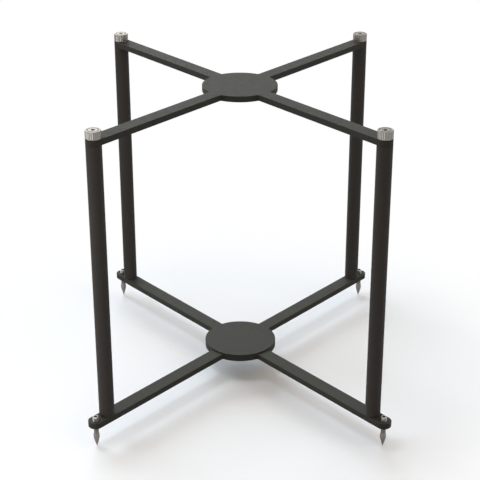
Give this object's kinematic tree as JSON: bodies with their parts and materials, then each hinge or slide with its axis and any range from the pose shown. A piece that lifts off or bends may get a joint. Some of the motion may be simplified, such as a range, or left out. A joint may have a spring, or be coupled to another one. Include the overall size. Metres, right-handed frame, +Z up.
{
  "type": "speaker stand",
  "caption": "Open metal speaker stand: two X-shaped frames joined by round posts, knurled clamp discs on top to carry the speaker, adjustable floor spikes below.",
  "frame": {"origin": "on the floor, at the spike tips' level, under the middle of the stand", "axes": "+Z up, the front of the stand faces -Y, +X to the viewer's right, depth along Y"},
  "size_m": [0.3922, 0.4502, 0.4323],
  "materials": {
    "powder_coat": "fine-textured satin black powder coat on steel",
    "knurled_steel": "turned and straight-knurled, bright",
    "spike_steel": "turned steel, slightly warm grey",
    "plain_steel": "zinc-plated fasteners and plugs",
    "adhesive_pad": "black foam adhesive"
  },
  "bodies": {
    "root": {"top_frame": "powder_coat", "bottom_frame": "powder_coat", "hub_cover_pad": "adhesive_pad", "hub_cover": "powder_coat", "post_back_right": "powder_coat", "post_bottom_plug_back_right": "plain_steel", "post_top_plug_back_right": "plain_steel", "post_screw_back_right": "plain_steel", "post_back_left": "powder_coat", "post_bottom_plug_back_left": "plain_steel", "post_top_plug_back_left": "plain_steel", "post_screw_back_left": "plain_steel", "post_front_left": "powder_coat", "post_bottom_plug_front_left": "plain_steel", "post_top_plug_front_left": "plain_steel", "post_screw_front_left": "plain_steel", "post_front_right": "powder_coat", "post_bottom_plug_front_right": "plain_steel", "post_top_plug_front_right": "plain_steel", "post_screw_front_right": "plain_steel"},
    "spike_cone_back_right": {"spike_cone_back_right": "spike_steel"},
    "spike_stud_back_right": {"spike_stud_back_right": "spike_steel"},
    "clamp_stud_back_right": {"clamp_stud_back_right": "plain_steel"},
    "clamp_disc_back_right": {"clamp_disc_back_right": "knurled_steel"},
    "spike_cone_back_left": {"spike_cone_back_left": "spike_steel"},
    "spike_stud_back_left": {"spike_stud_back_left": "spike_steel"},
    "clamp_stud_back_left": {"clamp_stud_back_left": "plain_steel"},
    "clamp_disc_back_left": {"clamp_disc_back_left": "knurled_steel"},
    "spike_cone_front_left": {"spike_cone_front_left": "spike_steel"},
    "spike_stud_front_left": {"spike_stud_front_left": "spike_steel"},
    "clamp_stud_front_left": {"clamp_stud_front_left": "plain_steel"},
    "clamp_disc_front_left": {"clamp_disc_front_left": "knurled_steel"},
    "spike_cone_front_right": {"spike_cone_front_right": "spike_steel"},
    "spike_stud_front_right": {"spike_stud_front_right": "spike_steel"},
    "clamp_stud_front_right": {"clamp_stud_front_right": "plain_steel"},
    "clamp_disc_front_right": {"clamp_disc_front_right": "knurled_steel"}
  },
  "joints": [
    {"name": "spike_travel_back_right", "type": "slide", "parent": "root", "child": "spike_cone_back_right", "axis": [0, 0, 1], "range_m": [-0.005, 0.0075]},
    {"name": "spike_turn_back_right", "type": "hinge", "parent": "spike_cone_back_right", "child": "spike_stud_back_right", "pos_m": [0.18608, 0.21513, 0.035], "axis": [0, 0, 1], "range_deg": [-1441, 2161]},
    {"name": "clamp_travel_back_right", "type": "slide", "parent": "root", "child": "clamp_stud_back_right", "axis": [0, 0, 1], "range_m": [0, 0.005]},
    {"name": "clamp_turn_back_right", "type": "hinge", "parent": "clamp_stud_back_right", "child": "clamp_disc_back_right", "pos_m": [0.173, 0.2, 0.422], "axis": [0, 0, 1], "range_deg": [0, 1441]},
    {"name": "spike_travel_back_left", "type": "slide", "parent": "root", "child": "spike_cone_back_left", "axis": [0, 0, 1], "range_m": [-0.005, 0.0075]},
    {"name": "spike_turn_back_left", "type": "hinge", "parent": "spike_cone_back_left", "child": "spike_stud_back_left", "pos_m": [-0.18608, 0.21513, 0.035], "axis": [0, 0, 1], "range_deg": [-1441, 2161]},
    {"name": "clamp_travel_back_left", "type": "slide", "parent": "root", "child": "clamp_stud_back_left", "axis": [0, 0, 1], "range_m": [0, 0.005]},
    {"name": "clamp_turn_back_left", "type": "hinge", "parent": "clamp_stud_back_left", "child": "clamp_disc_back_left", "pos_m": [-0.173, 0.2, 0.422], "axis": [0, 0, 1], "range_deg": [0, 1441]},
    {"name": "spike_travel_front_left", "type": "slide", "parent": "root", "child": "spike_cone_front_left", "axis": [0, 0, 1], "range_m": [-0.005, 0.0075]},
    {"name": "spike_turn_front_left", "type": "hinge", "parent": "spike_cone_front_left", "child": "spike_stud_front_left", "pos_m": [-0.18608, -0.21513, 0.035], "axis": [0, 0, 1], "range_deg": [-1441, 2161]},
    {"name": "clamp_travel_front_left", "type": "slide", "parent": "root", "child": "clamp_stud_front_left", "axis": [0, 0, 1], "range_m": [0, 0.005]},
    {"name": "clamp_turn_front_left", "type": "hinge", "parent": "clamp_stud_front_left", "child": "clamp_disc_front_left", "pos_m": [-0.173, -0.2, 0.422], "axis": [0, 0, 1], "range_deg": [0, 1441]},
    {"name": "spike_travel_front_right", "type": "slide", "parent": "root", "child": "spike_cone_front_right", "axis": [0, 0, 1], "range_m": [-0.005, 0.0075]},
    {"name": "spike_turn_front_right", "type": "hinge", "parent": "spike_cone_front_right", "child": "spike_stud_front_right", "pos_m": [0.18608, -0.21513, 0.035], "axis": [0, 0, 1], "range_deg": [-1441, 2161]},
    {"name": "clamp_travel_front_right", "type": "slide", "parent": "root", "child": "clamp_stud_front_right", "axis": [0, 0, 1], "range_m": [0, 0.005]},
    {"name": "clamp_turn_front_right", "type": "hinge", "parent": "clamp_stud_front_right", "child": "clamp_disc_front_right", "pos_m": [0.173, -0.2, 0.422], "axis": [0, 0, 1], "range_deg": [0, 1441]}
  ],
  "couplings": [
    {"joint": "spike_turn_back_right", "follows": "spike_travel_back_right", "rad_per_m": 5026.5},
    {"joint": "clamp_turn_back_right", "follows": "clamp_travel_back_right", "rad_per_m": 5026.5},
    {"joint": "spike_turn_back_left", "follows": "spike_travel_back_left", "rad_per_m": 5026.5},
    {"joint": "clamp_turn_back_left", "follows": "clamp_travel_back_left", "rad_per_m": 5026.5},
    {"joint": "spike_turn_front_left", "follows": "spike_travel_front_left", "rad_per_m": 5026.5},
    {"joint": "clamp_turn_front_left", "follows": "clamp_travel_front_left", "rad_per_m": 5026.5},
    {"joint": "spike_turn_front_right", "follows": "spike_travel_front_right", "rad_per_m": 5026.5},
    {"joint": "clamp_turn_front_right", "follows": "clamp_travel_front_right", "rad_per_m": 5026.5}
  ]
}
